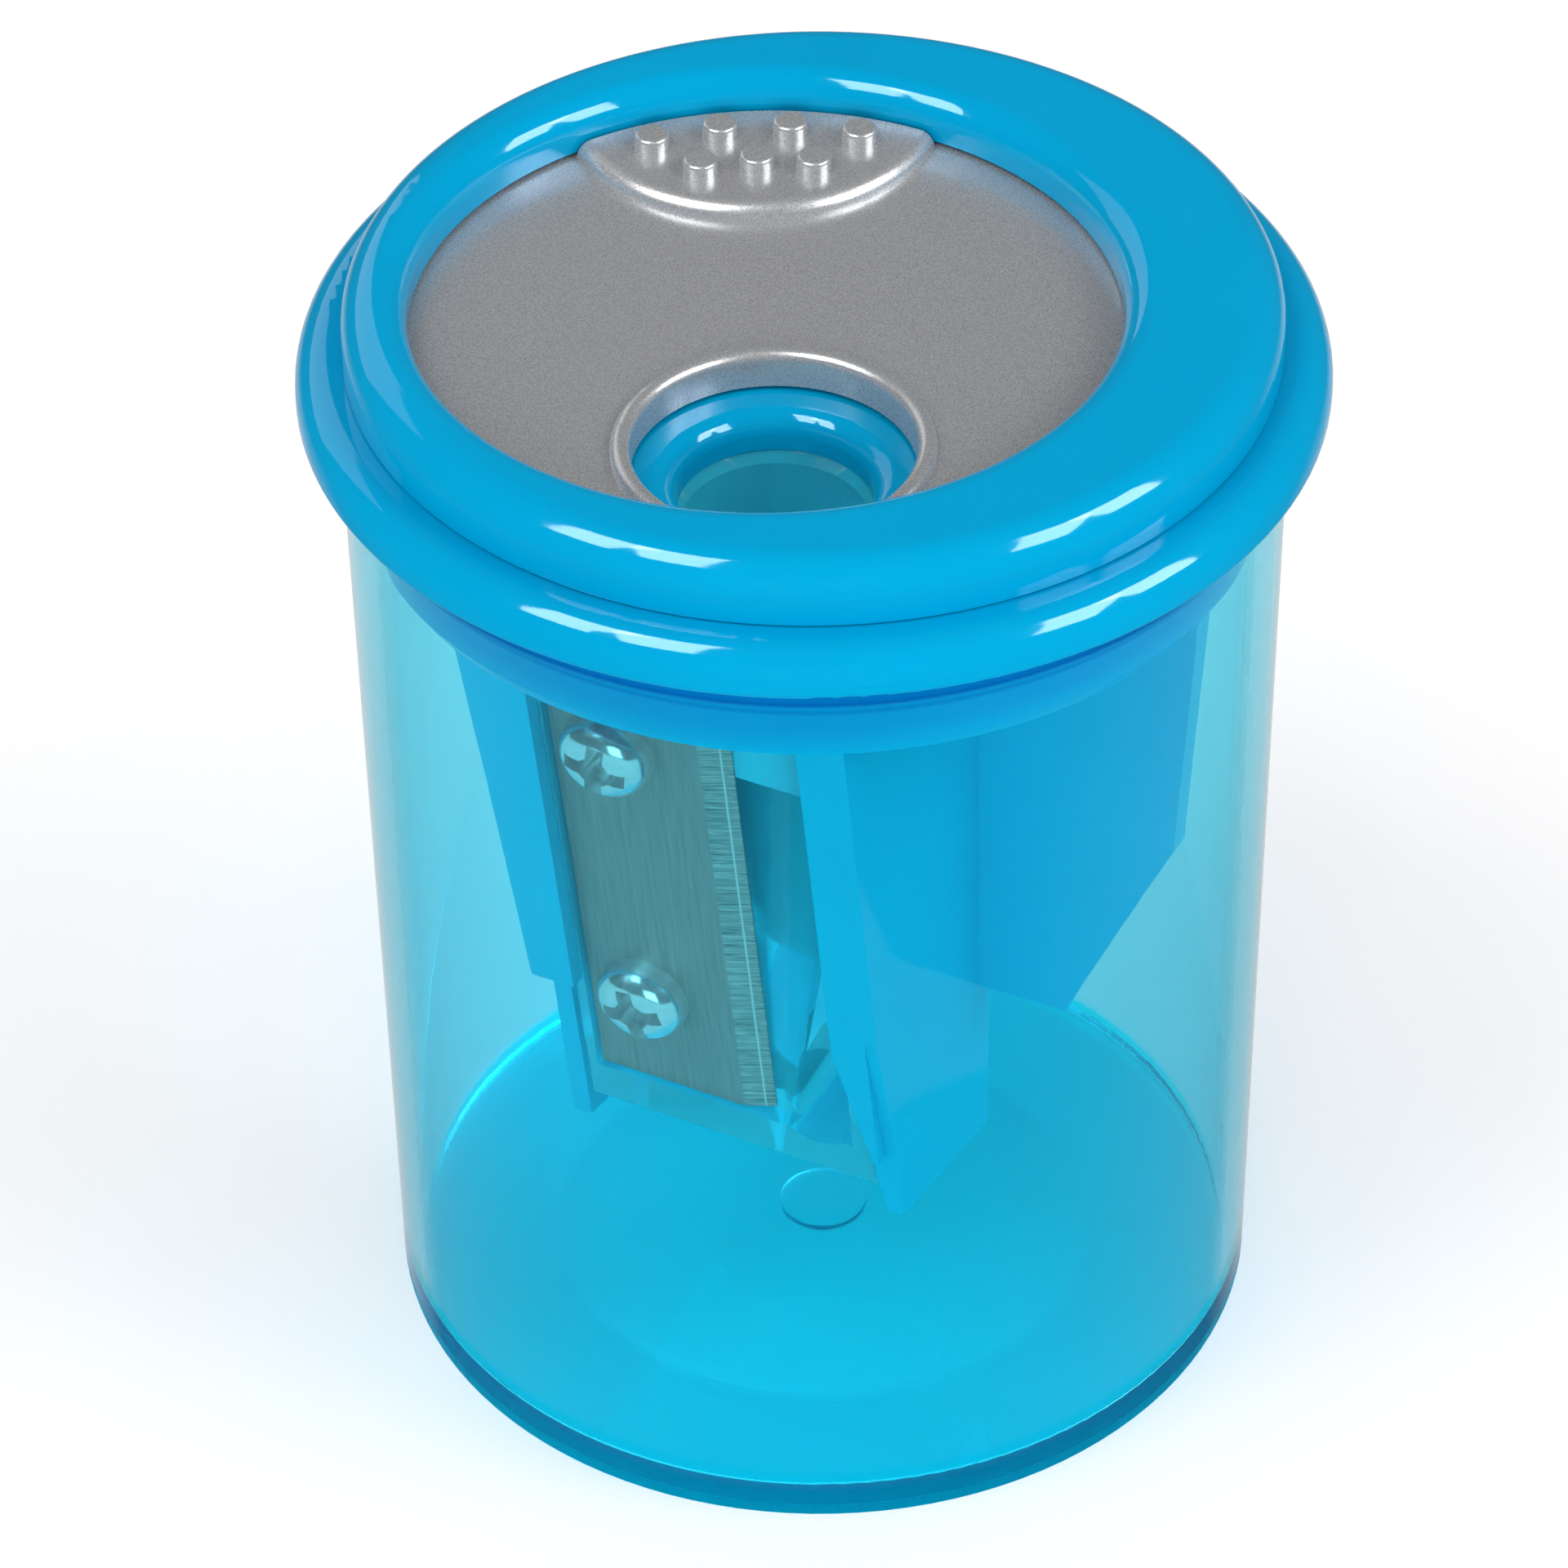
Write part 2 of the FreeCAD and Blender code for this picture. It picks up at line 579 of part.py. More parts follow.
# -------------------------------------------------------------- turning disc
# Drawn about its own axis, then placed on it.
disc = new_body("shutter_disc")
revolve(disc, "plate", [
    (0, D["disc_low"]),
    (D["disc_rad"], D["disc_low"]),
    (D["disc_rad"], D["disc_top"]),
    (0, D["disc_top"]),
])
s = flat_sketch(disc, "thumb_outline", D["disc_top"] - 0.1)
circle(s, 0, D["thumb_far"], D["thumb_rad"])
feature(disc, "Pad", "thumb_pad", s, Length=D["thumb_tall"] + 0.1)
s = flat_sketch(disc, "lip_outline", D["disc_top"] - 0.1)
circle(s, 0, -D["disc_hole_far"], D["disc_lip"])
feature(disc, "Pad", "lip", s, Length=D["disc_lip_tall"] + 0.1)
s = flat_sketch(disc, "thumb_trim_outline", D["disc_top"])
circle(s, 0, 0, D["disc_rad"] + 20.0)
circle(s, 0, 0, D["thumb_trim"])
feature(disc, "Pocket", "thumb_trim_cut", s, Length=D["thumb_tall"] + 1.0, Reversed=True)
s = flat_sketch(disc, "below_trim_outline", D["disc_top"])
circle(s, 0, 0, D["disc_rad"] + 20.0)
circle(s, 0, 0, D["disc_rad"])
feature(disc, "Pocket", "below_trim_cut", s, Length=val(3.0))
s = flat_sketch(disc, "hole_outline", D["disc_top"] + D["disc_lip_tall"])
circle(s, 0, -D["disc_hole_far"], D["disc_hole"])
feature(disc, "Pocket", "hole", s, Length=val(5.0))
s = flat_sketch(disc, "stud_outline", D["disc_top"] + D["thumb_tall"] - 0.1)
stud_tops = []
for row, steps in ((D["stud_row_far"], (-1.5, -0.5, 0.5, 1.5)), (D["stud_row_near"], (-1, 0, 1))):
    for k in steps:
        turn = D["stud_step"] * k
        across = Val(math.sin(math.radians(turn.v)), "sin(%s * 1 deg)" % turn.e)
        along = Val(math.cos(math.radians(turn.v)), "cos(%s * 1 deg)" % turn.e)
        circle(s, row * across, row * along, D["stud_rad"])
        stud_tops.append(ring_edge(D["stud_rad"].v, D["disc_top"].v + D["thumb_tall"].v + D["stud_tall"].v,
                                   (row * across).v, (row * along).v))
feature(disc, "Pad", "studs", s, Length=D["stud_tall"] + 0.1)
fillet(disc, "stud_edges", D["stud_round"], *stud_tops)
fillet(disc, "lip_edge", D["disc_lip_round"],
       ring_edge(D["disc_lip"].v, D["disc_top"].v + D["disc_lip_tall"].v, 0.0, -D["disc_hole_far"].v),
       ring_edge(D["disc_hole"].v, D["disc_top"].v + D["disc_lip_tall"].v, 0.0, -D["disc_hole_far"].v))
fillet(disc, "thumb_edge", D["thumb_round"],
       ring_edge(D["thumb_rad"].v, D["disc_top"].v + D["thumb_tall"].v,
                 0.0, D["thumb_far"].v))
disc.Placement = Placement(Vector(-D["disc_axis_back"].v, 0, 0),
                           Rotation(Vector(0, 0, 1), D["disc_turn"].v))

# -------------------------------------------------------------------- insert
wedge = new_body("insert_body")
s = side_sketch(wedge, "wedge_outline", -D["body_left"])
polygon(s, [
    (seat(D["body_high"], D["body_frame"]), D["body_high"]),
    (seat(D["body_low"], D["body_frame"]), D["body_low"]),
    (D["body_back"], D["body_low"]),
    (D["body_back"], D["body_high"]),
])
feature(wedge, "Pad", "block", s, Length=D["body_left"] + D["body_right"])


def on_frame(edge):
    """True for the lower and side edges of the front face of the block."""
    ends = [vertex.Point for vertex in edge.Vertexes]
    for end in ends:
        u, b = (end.x - AX.v) * math.cos(math.radians(TURN.v)) - (end.y - AY.v) * math.sin(math.radians(TURN.v)), \
               (end.x - AX.v) * math.sin(math.radians(TURN.v)) + (end.y - AY.v) * math.cos(math.radians(TURN.v))
        ahead = D["cone_rad"].v + (end.z - D["cone_datum"].v) * D["cone_slope"].v + D["body_frame"].v
        if abs(b + ahead) > 1e-3:
            return False
    return min(end.z for end in ends) < D["body_high"].v - 1.0


fillet(wedge, "frame_edge", D["frame_round"], on_frame)
s = flat_sketch(wedge, "collar_outline", D["body_high"] - 0.5)
circle(s, AX, AY, D["collar_rad"])
feature(wedge, "Pad", "collar", s, Length=D["collar_high"] - D["body_high"] + 0.5)

# Recess for the blade, open at its top.
s = side_sketch(wedge, "seat_outline", -D["seat_left"])
polygon(s, [
    (seat(D["seat_low"]), D["seat_low"]),
    (seat(D["body_high"] + 1.0), D["body_high"] + 1.0),
    (seat(D["body_high"] + 1.0, 4.0), D["body_high"] + 1.0),
    (seat(D["seat_low"], 4.0), D["seat_low"]),
])
feature(wedge, "Pocket", "blade_seat", s,
        Length=D["seat_left"] + D["seat_right"], Reversed=True)

# Chip slot beside the cutting edge.
s = side_sketch(wedge, "slot_outline", -D["slot_left"])
polygon(s, [
    (seat(D["slot_low"], 2.0), D["slot_low"]),
    (seat(D["slot_high"], 2.0), D["slot_high"]),
    (D["slot_deep"], D["slot_high"]),
    (D["slot_deep"], D["slot_low"]),
])
feature(wedge, "Pocket", "chip_slot", s,
        Length=D["slot_left"] + D["slot_right"], Reversed=True)

# Grip panels on both sides.
for name, u, back in (("right_grip", D["body_right"], False), ("left_grip", -D["body_left"], True)):
    s = side_sketch(wedge, name + "_outline", u)
    polygon(s, [
        (seat(D["grip_low"]) + D["grip_front"], D["grip_low"]),
        (D["grip_back"], D["grip_low"]),
        (D["grip_back"], D["grip_high"]),
        (seat(D["grip_high"]) + D["grip_front"], D["grip_high"]),
    ])
    feature(wedge, "Pocket", name, s, Length=D["grip_deep"], Reversed=back)

# Pencil bore: a cone that ends in a cylinder.
s = new_sketch(wedge, "bore_profile", "XZ_Plane", (AX, 0, -AY))
bore_start = D["body_low"] - 1.0
cone_top = D["cone_datum"].v + (D["bore_rad"].v - D["cone_rad"].v) / D["cone_slope"].v
cone_end = Val(cone_top, "(dims.cone_datum + (dims.bore_rad - dims.cone_rad) / dims.cone_slope)")
polygon(s, [
    (0, bore_start),
    (-seat(bore_start), bore_start),
    (D["bore_rad"], cone_end),
    (D["bore_rad"], D["collar_high"] - D["bore_lead"]),
    (D["bore_rad"] + D["bore_lead"] * 0.6, D["collar_high"]),
    (0, D["collar_high"]),
])
doc.recompute()
feature(wedge, "Groove", "bore", s, ReferenceAxis=(s, ["V_Axis"]), Angle=360.0)

# Round end of the chip slot and the two screw holes, square to the blade seat.
SEAT_TURN = Rotation(Vector(0, 0, 1), -TURN.v).multiply(
    Rotation(Vector(1, 0, 0), math.degrees(TILT)))
OUT_TURN = SEAT_TURN.multiply(Rotation(Vector(1, 0, 0), 90))
UP = SEAT_TURN.multVec(Vector(0, 0, 1))
OUT = OUT_TURN.multVec(Vector(0, 0, 1))


def on_seat(u, height, ahead=0.0):
    x, y = plan(u, seat(height).v)
    return Vector(x, y, val(height).v) + OUT * ahead


def drill(name, radius, length, point, depth):
    tool = doc.addObject("Part::Cylinder", name)
    tool.Radius = radius.v
    tool.setExpression("Radius", radius.e)
    tool.Height = length
    tool.Placement = Placement(point - OUT * depth, OUT_TURN)
    return tool


blade_foot = on_seat(0.0, D["blade_low"])
screw_points = []
for k in (0, 1):
    along = D["screw_low"].v + k * D["screw_pitch"].v
    screw_points.append(blade_foot + UP * along
                        + SEAT_TURN.multVec(Vector(-D["screw_in"].v, 0, 0)))
tools = [drill("slot_end", D["slot_end_rad"], 9.0,
               on_seat(D["slot_end_u"].v, D["slot_end_high"]), 4.0)]
for k, point in enumerate(screw_points):
    tools.append(drill("pilot_%d" % (k + 1), D["shank_rad"] + 0.02,
                       D["shank_long"].v + 1.0, point, D["shank_long"].v))
cutter = doc.addObject("Part::MultiFuse", "insert_tools")
cutter.Shapes = tools
insert = doc.addObject("Part::Cut", "sharpener_insert")
insert.Label = "sharpener_insert"
insert.Base = wedge
insert.Tool = cutter
doc.recompute()

# --------------------------------------------------------------------- blade
# Drawn flat: x across, with the cutting edge at x = 0, front face towards -y.
blade = new_body("blade")
s = flat_sketch(blade, "section", 0)
polygon(s, [
    (-D["blade_wide"], 0),
    (0, 0),
    (0, -D["blade_edge"]),
    (-D["blade_bevel"], -D["blade_thick"]),
    (-D["blade_wide"], -D["blade_thick"]),
])
feature(blade, "Pad", "strip", s, Length=D["blade_long"])
s = new_sketch(blade, "hole_outline", "XZ_Plane")
for k in (0.0, 1.0):
    circle(s, -D["screw_in"], D["screw_low"] + D["screw_pitch"] * k, D["blade_hole"])
feature(blade, "Pocket", "screw_holes", s, Length=val(4.0), Midplane=True)
blade.Placement = Placement(blade_foot, SEAT_TURN)


# -------------------------------------------------------------------- screws
def make_screw(name, point, spin):
    body = new_body(name)
    revolve(body, "turned", [
        (0, -D["shank_long"]),
        (D["shank_rad"] * 0.25, -D["shank_long"]),
        (D["shank_rad"], -(D["shank_long"] - D["shank_point"])),
        (D["shank_rad"], 0),
        (D["head_rad"], 0),
        (D["head_rad"], D["head_tall"]),
        (0, D["head_tall"]),
    ])
    fillet(body, "dome", D["head_round"],
           ring_edge(D["head_rad"].v, D["head_tall"].v))
    for label, wide, tall in (("bar_a", D["cross_long"], D["cross_wide"]),
                              ("bar_b", D["cross_wide"], D["cross_long"])):
        sketch = flat_sketch(body, label + "_outline", D["head_tall"])
        polygon(sketch, [(wide * -0.5, tall * -0.5), (wide * 0.5, tall * -0.5),
                         (wide * 0.5, tall * 0.5), (wide * -0.5, tall * 0.5)])
        feature(body, "Pocket", label, sketch, Length=D["cross_deep"])
    sketch = flat_sketch(body, "core_outline", D["head_tall"])
    circle(sketch, 0, 0, D["cross_core"])
    feature(body, "Pocket", "core", sketch, Length=D["cross_deep"] + 0.2)
    body.Placement = Placement(
        point + OUT * D["blade_thick"].v,
        OUT_TURN.multiply(Rotation(Vector(0, 0, 1), spin)))
    return body


screws = doc.addObject("Part::Compound", "blade_screws")
screws.Label = "blade_screws"
screws.Links = [make_screw("screw_low_end", screw_points[0], 12.0),
                make_screw("screw_high_end", screw_points[1], -8.0)]
doc.recompute()

# -------------------------------------------------------------------- output
for item in doc.Objects:
    if "Invalid" in item.State or "Error" in item.State:
        raise RuntimeError("%s failed: %s" % (item.Label, item.State))

NODES = [container, lid, ring, disc, insert, blade, screws]
SOLIDS = {"blade_screws": 2}
for item in NODES:
    shape = item.Shape
    if shape.isNull() or not shape.isValid():
        raise RuntimeError("%s has no valid shape" % item.Label)
    want = SOLIDS.get(item.Label, 1)
    if len(shape.Solids) != want:
        raise RuntimeError("%s has %d solids" % (item.Label, len(shape.Solids)))
    box = shape.BoundBox
    print("%-18s %9.2f mm3  x %.2f..%.2f  y %.2f..%.2f  z %.2f..%.2f" % (
        item.Label, shape.Volume, box.XMin, box.XMax, box.YMin, box.YMax, box.ZMin, box.ZMax))

os.makedirs("parts", exist_ok=True)
for item in NODES:
    item.Shape.exportStep("parts/%s.step" % item.Label)
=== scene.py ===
import math

import bpy
from mathutils import Matrix, Vector

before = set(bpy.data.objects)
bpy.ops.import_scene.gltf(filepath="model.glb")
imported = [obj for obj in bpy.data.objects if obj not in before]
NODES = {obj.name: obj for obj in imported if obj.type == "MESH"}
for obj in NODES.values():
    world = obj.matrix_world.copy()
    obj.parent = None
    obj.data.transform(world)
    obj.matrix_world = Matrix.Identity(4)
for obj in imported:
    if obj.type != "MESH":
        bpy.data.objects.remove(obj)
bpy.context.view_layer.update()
scene = bpy.context.scene
scene.view_settings.view_transform = "Standard"
scene.view_settings.look = "None"

MM = 0.001

# ------------------------------------------------------------------- camera
ELEV = 0.688536439
ROLL = -0.0150895660
FOCAL = 9000.0
SHIFT_X, SHIFT_Y, DIST = -1.87425097 * MM, 20.7228273 * MM, 351.034848 * MM
fwd = Vector((0.0, math.cos(ELEV), -math.sin(ELEV)))
up0 = Vector((0.0, math.sin(ELEV), math.cos(ELEV)))
rt0 = Vector((1.0, 0.0, 0.0))
right = rt0 * math.cos(ROLL) + up0 * math.sin(ROLL)
up = up0 * math.cos(ROLL) - rt0 * math.sin(ROLL)
eye = -fwd * DIST + right * SHIFT_X + up * SHIFT_Y

cam_data = bpy.data.cameras.new("photo_camera")
cam_data.sensor_width = 36.0
cam_data.sensor_fit = "HORIZONTAL"
cam_data.lens = FOCAL / 1920.0 * 36.0
cam_data.clip_start = 0.01
cam_data.clip_end = 20.0
camera = bpy.data.objects.new("photo_camera", cam_data)
scene.collection.objects.link(camera)
camera.matrix_world = Matrix((
    (right.x, up.x, -fwd.x, eye.x),
    (right.y, up.y, -fwd.y, eye.y),
    (right.z, up.z, -fwd.z, eye.z),
    (0.0, 0.0, 0.0, 1.0),
))
scene.camera = camera

# ------------------------------------------------- directions of the holder
TURN = math.radians(-27.4)
TILT = math.atan(0.1553)
AXIS = Vector((-1.75, -9.05, 0.0)) * MM
DIR_U = Vector((math.cos(TURN), math.sin(TURN), 0.0))
DIR_B = Vector((-math.sin(TURN), math.cos(TURN), 0.0))
DIR_S = Vector((0, 0, 1)) * math.cos(TILT) - DIR_B * math.sin(TILT)
DIR_N = -(DIR_B * math.cos(TILT) + Vector((0, 0, 1)) * math.sin(TILT))


# ---------------------------------------------------------------- materials
def new_material(name):
    mat = bpy.data.materials.new(name)
    mat.use_nodes = True
    tree = mat.node_tree
    tree.nodes.clear()
    out = tree.nodes.new("ShaderNodeOutputMaterial")
    return mat, tree, out


def node(tree, kind, **inputs):
    n = tree.nodes.new(kind)
    for key, value in inputs.items():
        n.inputs[key.replace("_", " ")].default_value = value
    return n


def link(tree, a, b):
    tree.links.new(a, b)


def coords(tree):
    return tree.nodes.new("ShaderNodeTexCoord").outputs["Object"]


def noise(tree, vector, scale, detail=2.0, rough=0.5):
    n = node(tree, "ShaderNodeTexNoise", Scale=scale, Detail=detail, Roughness=rough)
    link(tree, vector, n.inputs["Vector"])
    return n.outputs["Fac"]


def ramp(tree, fac, low, high, a=0.0, b=1.0):
    n = node(tree, "ShaderNodeMapRange")
    n.inputs["From Min"].default_value = a
    n.inputs["From Max"].default_value = b
    n.inputs["To Min"].default_value = low
    n.inputs["To Max"].default_value = high
    link(tree, fac, n.inputs["Value"])
    return n.outputs["Result"]


def mix_colour(tree, fac, a, b):
    n = tree.nodes.new("ShaderNodeMix")
    n.data_type = "RGBA"
    n.inputs["A"].default_value = (*a, 1.0)
    n.inputs["B"].default_value = (*b, 1.0)
    link(tree, fac, n.inputs["Factor"])
    return n.outputs["Result"]


def bump(tree, height, strength, distance):
    n = node(tree, "ShaderNodeBump", Strength=strength, Distance=distance)
    link(tree, height, n.inputs["Height"])
    return n.outputs["Normal"]


def dot(tree, vector, direction):
    n = tree.nodes.new("ShaderNodeVectorMath")
    n.operation = "DOT_PRODUCT"
    n.inputs[1].default_value = direction
    link(tree, vector, n.inputs[0])
    return n.outputs["Value"]


def zone(tree, height, values):
    """A colour by height in the part: values is a list of (height, colour), low to high."""
    n = tree.nodes.new("ShaderNodeValToRGB")
    n.color_ramp.interpolation = "LINEAR"
    while len(n.color_ramp.elements) < len(values):
        n.color_ramp.elements.new(0.5)
    for item, (at, colour) in zip(n.color_ramp.elements, values):
        item.position = at
        item.color = (*colour, 1.0)
    link(tree, height, n.inputs["Fac"])
    return n.outputs["Color"]


def let_lamps_in(tree, out, skin, shade):
    """Open to lamps and to soft light, so that they light what stands inside."""
    clear = node(tree, "ShaderNodeBsdfTransparent")
    clear.inputs["Color"].default_value = (*shade, 1.0)
    path = tree.nodes.new("ShaderNodeLightPath")
    lamp = tree.nodes.new("ShaderNodeMixShader")
    link(tree, path.outputs["Is Shadow Ray"], lamp.inputs["Fac"])
    link(tree, skin.outputs["BSDF"], lamp.inputs[1])
    link(tree, clear.outputs["BSDF"], lamp.inputs[2])
    soft = tree.nodes.new("ShaderNodeMixShader")
    link(tree, path.outputs["Is Diffuse Ray"], soft.inputs["Fac"])
    link(tree, lamp.outputs["Shader"], soft.inputs[1])
    link(tree, clear.outputs["BSDF"], soft.inputs[2])
    link(tree, soft.outputs["Shader"], out.inputs["Surface"])


def cup_plastic():
    """Blue see-through moulding: pale where it is thin, deep at the rim and the
    base, with painted shade in two thin dark bands along the rim bead, and a
    frosted underside."""
    mat, tree, out = new_material("clear_blue_plastic")
    pos = coords(tree)
    skin = node(tree, "ShaderNodeBsdfPrincipled", IOR=1.55)
    skin.inputs["Transmission Weight"].default_value = 1.0
    high = dot(tree, pos, (0.0, 0.0, 1.0))
    share = ramp(tree, high, 0.0, 1.0, 0.0, 50.0 * MM)
    # painted shade: two thin dark bands along the rim bead, where it meets the lid's flange above and the wall
    # below
    tint = zone(tree, share, [
        (1.62 / 50, CUP_EDGE), (1.9 / 50, CUP_WALL), (47.55 / 50, CUP_WALL), (47.7 / 50, CUP_RIM_PAINTED_SHADE),
        (47.9 / 50, CUP_RIM), (48.15 / 50, CUP_RIM), (48.4 / 50, CUP_RIM_PAINTED_SHADE)])
    disc = zone(tree, share, [(2.85 / 50, CUP_FLOOR), (2.95 / 50, CUP_WALL)])
    flat = tree.nodes.new("ShaderNodeVectorMath")
    flat.operation = "MULTIPLY"
    flat.inputs[1].default_value = (1.0, 1.0, 0.0)
    link(tree, pos, flat.inputs[0])
    reach = tree.nodes.new("ShaderNodeVectorMath")
    reach.operation = "LENGTH"
    link(tree, flat.outputs["Vector"], reach.inputs[0])
    pick = tree.nodes.new("ShaderNodeMix")
    pick.data_type = "RGBA"
    outer = ramp(tree, reach.outputs["Value"], 0.0, 1.0, 18.75 * MM, 18.85 * MM)
    gloss = tree.nodes.new("ShaderNodeMix")
    gloss.data_type = "RGBA"
    gloss.inputs["A"].default_value = (0.9, 0.95, 1.0, 1.0)
    link(tree, outer, gloss.inputs["Factor"])
    link(tree, zone(tree, share, [(47.55 / 50, (0.02, 0.22, 0.32)), (47.8 / 50, (0.12, 0.5, 0.75))]),
         gloss.inputs["B"])
    link(tree, gloss.outputs["Result"], skin.inputs["Specular Tint"])
    link(tree, outer, pick.inputs["Factor"])
    link(tree, disc, pick.inputs["A"])
    link(tree, tint, pick.inputs["B"])
    link(tree, pick.outputs["Result"], skin.inputs["Base Color"])
    flow = ramp(tree, noise(tree, pos, 260.0, 3.0), 0.012, 0.028, 0.3, 0.7)
    deep = tree.nodes.new("ShaderNodeMath")
    deep.operation = "SUBTRACT"
    link(tree, high, deep.inputs[0])
    link(tree, ramp(tree, reach.outputs["Value"], 1.3 * MM, 0.0, 0.0, 12.6 * MM), deep.inputs[1])
    under = ramp(tree, deep.outputs["Value"], 0.35, 0.0, 0.74 * MM, 0.78 * MM)
    level = tree.nodes.new("ShaderNodeMath")
    level.operation = "MAXIMUM"
    link(tree, flow, level.inputs[0])
    link(tree, under, level.inputs[1])
    link(tree, level.outputs["Value"], skin.inputs["Roughness"])
    link(tree, bump(tree, noise(tree, pos, 900.0, 2.0), 0.02, 0.00005), skin.inputs["Normal"])
    let_lamps_in(tree, out, skin, (1.0, 1.0, 1.0))
    soak = node(tree, "ShaderNodeVolumeAbsorption", Density=260.0)
    soak.inputs["Color"].default_value = (0.108, 0.83, 0.985, 1.0)
    link(tree, soak.outputs["Volume"], out.inputs["Volume"])
    return mat


def insert_plastic():
    mat, tree, out = new_material("clear_plastic")
    pos = coords(tree)
    skin = node(tree, "ShaderNodeBsdfPrincipled", IOR=1.36)
    skin.inputs["Transmission Weight"].default_value = 0.7
    tone = noise(tree, pos, 120.0, 3.0)
    # the teal is partly the clear plastic's own faint tint and partly painted blue light, as bounced onto it from
    # the lid
    link(tree, mix_colour(tree, tone, (0.06, 0.82, 0.99), (0.10, 0.85, 1.0)), skin.inputs["Base Color"])
    link(tree, ramp(tree, noise(tree, pos, 260.0, 3.0), 0.02, 0.05, 0.3, 0.7), skin.inputs["Roughness"])
    link(tree, bump(tree, noise(tree, pos, 900.0, 2.0), 0.02, 0.00005), skin.inputs["Normal"])
    let_lamps_in(tree, out, skin, (0.97, 0.99, 0.99))
    return mat


def lid_plastic():
    mat, tree, out = new_material("blue_plastic")
    pos = coords(tree)
    skin = node(tree, "ShaderNodeBsdfPrincipled", IOR=1.5)
    skin.inputs["Specular Tint"].default_value = (0.42, 0.55, 0.8, 1.0)
    tone = noise(tree, pos, 70.0, 3.0)
    share = ramp(tree, dot(tree, pos, (0.0, 0.0, 1.0)), 0.0, 1.0, 0.0, 60.0 * MM)
    link(tree, ramp(tree, share, 0.1, 0.5, 47.6 / 60, 48.4 / 60), skin.inputs["Specular IOR Level"])
    # painted light: below the lid's deck the same blue plastic takes a paler colour, standing in for more light on
    # the holder inside the cup
    base = zone(tree, share, [(44.0 / 60, HOLDER_PAINTED_LIGHT_BLUE), (46.0 / 60, LID_BLUE)])
    # the plate behind the insert is given a paler colour, standing in for light through it
    deep = dot(tree, pos, DIR_B)
    across = dot(tree, pos, DIR_U)
    back_b, mid_u = AXIS.dot(DIR_B), AXIS.dot(DIR_U)
    glow = ramp(tree, deep, 0.0, 1.0, back_b + 6.60 * MM, back_b + 6.65 * MM)
    for fac in (ramp(tree, deep, 1.0, 0.0, back_b + 6.80 * MM, back_b + 6.90 * MM),
                ramp(tree, across, 0.0, 1.0, mid_u - 7.0 * MM, mid_u - 6.0 * MM),
                ramp(tree, across, 1.0, 0.0, mid_u + 2.5 * MM, mid_u + 3.5 * MM),
                ramp(tree, share, 1.0, 0.0, 38.0 / 60, 40.0 / 60)):
        both = tree.nodes.new("ShaderNodeMath")
        both.operation = "MULTIPLY"
        link(tree, glow, both.inputs[0])
        link(tree, fac, both.inputs[1])
        glow = both.outputs["Value"]
    lit = tree.nodes.new("ShaderNodeMix")
    lit.data_type = "RGBA"
    lit.inputs["B"].default_value = (0.0, 0.86, 1.0, 1.0)
    link(tree, glow, lit.inputs["Factor"])
    link(tree, base, lit.inputs["A"])
    base = lit.outputs["Result"]
    shift = node(tree, "ShaderNodeHueSaturation")
    link(tree, ramp(tree, tone, 0.97, 1.03, 0.3, 0.7), shift.inputs["Value"])
    link(tree, base, shift.inputs["Color"])
    link(tree, shift.outputs["Color"], skin.inputs["Base Color"])
    link(tree, ramp(tree, noise(tree, pos, 350.0, 3.0), 0.05, 0.075, 0.3, 0.7), skin.inputs["Roughness"])
    link(tree, bump(tree, noise(tree, pos, 1400.0, 2.0), 0.05, 0.00004), skin.inputs["Normal"])
    link(tree, skin.outputs["BSDF"], out.inputs["Surface"])
    return mat


def silver_plastic():
    mat, tree, out = new_material("silver_plastic")
    pos = coords(tree)
    skin = node(tree, "ShaderNodeBsdfPrincipled", IOR=1.5)
    skin.inputs["Metallic"].default_value = 0.5
    flake = noise(tree, pos, 15000.0, 1.0, 0.6)
    link(tree, mix_colour(tree, ramp(tree, flake, 0.0, 1.0, 0.3, 0.7),
                          (0.39, 0.396, 0.405), (0.50, 0.507, 0.518)), skin.inputs["Base Color"])
    link(tree, ramp(tree, flake, 0.22, 0.34, 0.3, 0.7), skin.inputs["Roughness"])
    link(tree, bump(tree, flake, 0.05, 0.00001), skin.inputs["Normal"])
    link(tree, skin.outputs["BSDF"], out.inputs["Surface"])
    return mat


